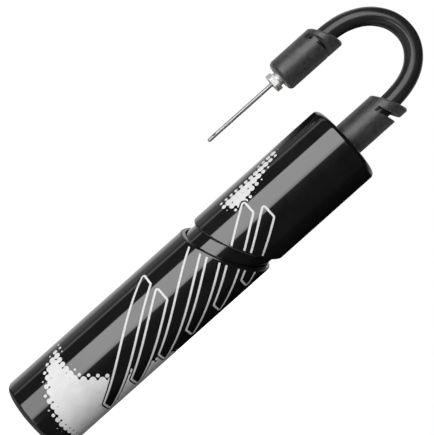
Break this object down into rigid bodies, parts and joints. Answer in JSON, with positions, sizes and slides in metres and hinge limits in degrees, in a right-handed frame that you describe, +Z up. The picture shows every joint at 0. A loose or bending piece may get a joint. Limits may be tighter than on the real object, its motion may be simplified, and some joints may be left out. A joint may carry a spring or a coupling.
{
  "type": "ball inflation pump",
  "caption": "Pocket hand pump for sports balls: two black tube halves that pull apart at a slanted groove, with a rubber hose arching from the top to an inflating needle in a rubber boot.",
  "frame": {"origin": "middle of the flat base of the handle, on the pump's axis", "axes": "+Z up the pump's axis towards the hose; +X away from the connector boot, which hangs on the -X side; the hose's arch lies in the XZ plane"},
  "size_m": [0.0632, 0.036, 0.2246],
  "materials": {
    "shell_gloss_black": "polished injection-moulded black ABS with printed pattern",
    "barrel_gloss_black": "polished black extruded plastic tube",
    "inner_plastic": "moulded nylon, matte",
    "moulded_rubber": "fine-grained matte moulded rubber",
    "hose_rubber": "smooth satin extruded rubber",
    "soft_rubber": "greased nitrile rubber",
    "needle_nickel": "bright nickel plate",
    "zinc_steel": "zinc-plated steel",
    "rod_aluminium": "drawn aluminium rod",
    "ferrule_aluminium": "crimped aluminium sleeve",
    "fitting_brass": "turned brass"
  },
  "bodies": {
    "handle": {"handle_shell": "shell_gloss_black", "handle_end_cap": "inner_plastic", "rod_screw": "zinc_steel", "base_bumper": "soft_rubber", "piston_rod": "rod_aluminium", "bump_washer": "soft_rubber", "stop_tube": "inner_plastic", "piston": "inner_plastic", "cup_seal": "soft_rubber", "piston_washer": "zinc_steel", "piston_nut": "zinc_steel", "wiper_ring": "inner_plastic"},
    "barrel": {"barrel_tube": "barrel_gloss_black", "barrel_gland": "inner_plastic", "guide_ring": "inner_plastic", "barrel_head": "inner_plastic", "head_o_ring": "soft_rubber", "valve_spring": "zinc_steel", "head_shell": "shell_gloss_black", "hose_nipple": "fitting_brass", "hose_ferrule": "ferrule_aluminium", "hose_collar": "moulded_rubber", "hose": "hose_rubber", "connector_ferrule": "ferrule_aluminium", "connector_boot": "moulded_rubber", "needle_socket": "fitting_brass"},
    "valve": {"valve_ball": "needle_nickel"},
    "gasket": {"needle_gasket": "soft_rubber"},
    "needle": {"needle_hub": "needle_nickel", "needle_tube": "needle_nickel"}
  },
  "joints": [
    {"name": "pump_stroke", "type": "slide", "parent": "handle", "child": "barrel", "axis": [0, 0, 1], "range_m": [0, 0.072]},
    {"name": "valve_lift", "type": "slide", "parent": "barrel", "child": "valve", "axis": [0, 0, 1], "range_m": [0, 0.0007], "stiffness_N_per_m": 60, "springref_m": -0.0015, "deforming": ["valve_spring"]},
    {"name": "needle_travel", "type": "slide", "parent": "barrel", "child": "gasket", "axis": [0, 0, -1], "range_m": [0, 0.0039]},
    {"name": "needle_turn", "type": "hinge", "parent": "gasket", "child": "needle", "pos_m": [-0.0381, 0, 0.1675], "axis": [0, 0, -1], "range_deg": [0, 1800]}
  ],
  "couplings": [
    {"joint": "needle_turn", "follows": "needle_travel", "rad_per_m": 7915.8}
  ]
}
